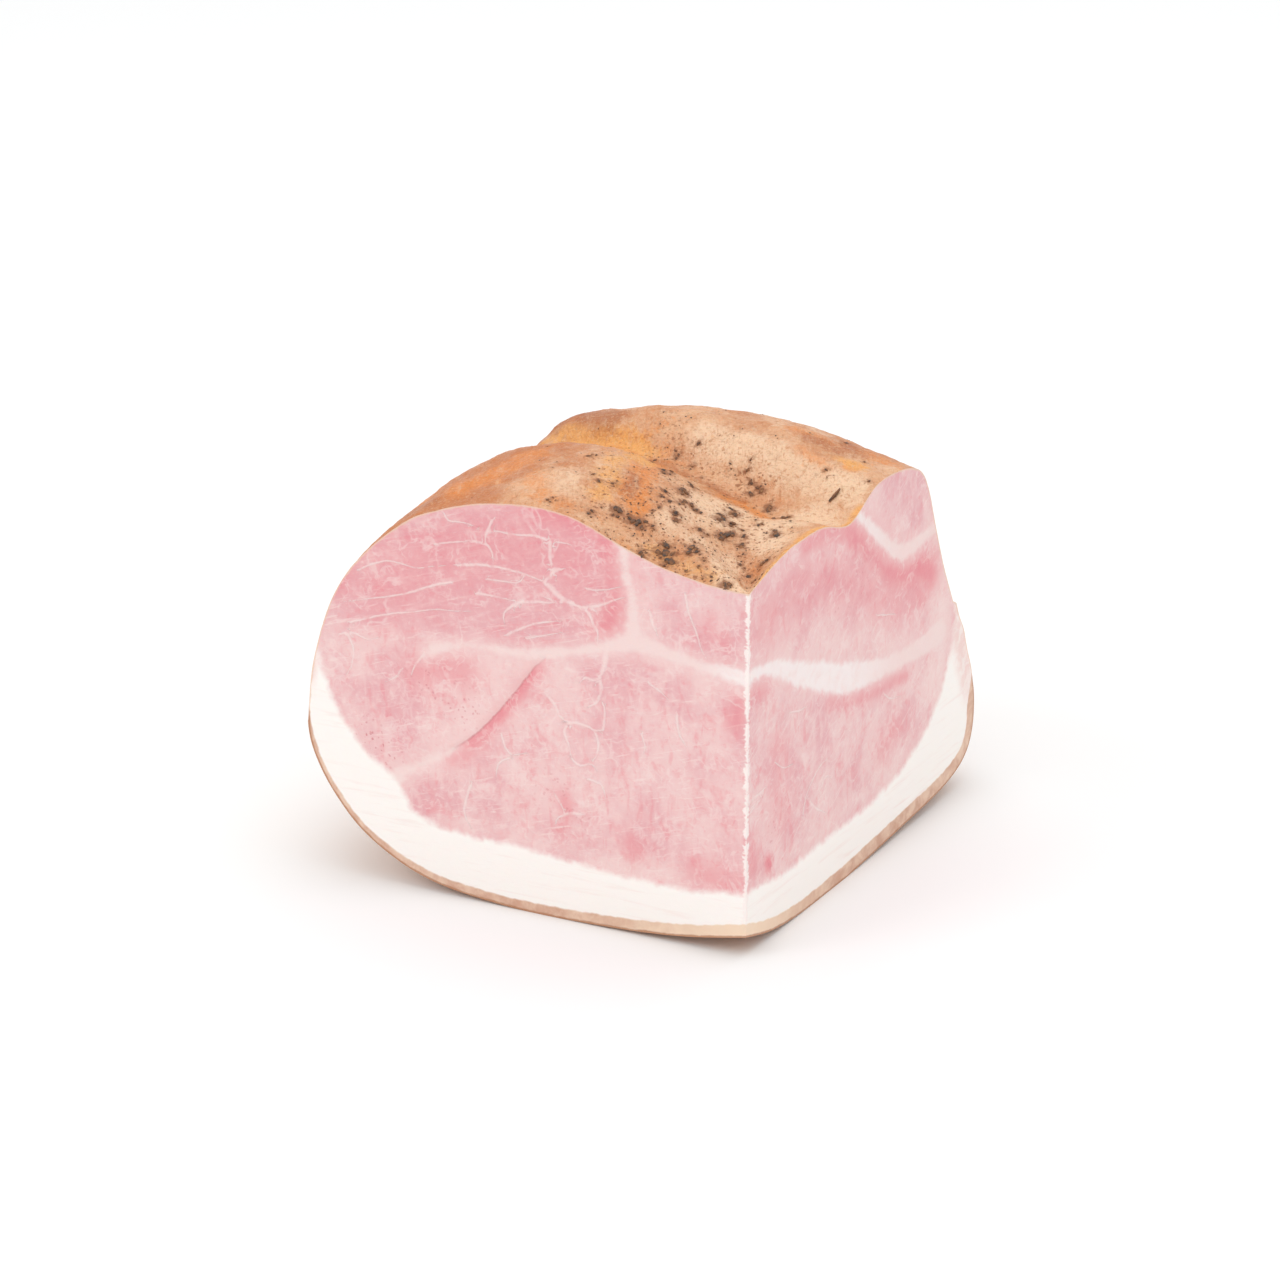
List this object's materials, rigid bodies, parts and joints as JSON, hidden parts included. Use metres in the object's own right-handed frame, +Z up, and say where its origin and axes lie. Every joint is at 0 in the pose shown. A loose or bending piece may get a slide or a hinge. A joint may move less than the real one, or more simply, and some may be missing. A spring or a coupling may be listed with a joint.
{
  "type": "smoked ham",
  "caption": "Piece of boneless smoked ham on its rind, with two upright cut faces meeting in a front edge and a peppered, golden smoked top.",
  "frame": {"origin": "on the surface the ham rests on, under the middle of its bounding box", "axes": "+Z up; the left cut face looks along -Y, the right cut face looks within 3 degrees of +X"},
  "size_m": [0.174, 0.1752, 0.1473],
  "materials": {
    "ham": "moist satin cut lean and white fat, with a thin tan rind and a golden-brown smoked crust sprinkled with cracked pepper"
  },
  "bodies": {
    "root": {"smoked_ham": "ham"}
  },
  "joints": []
}
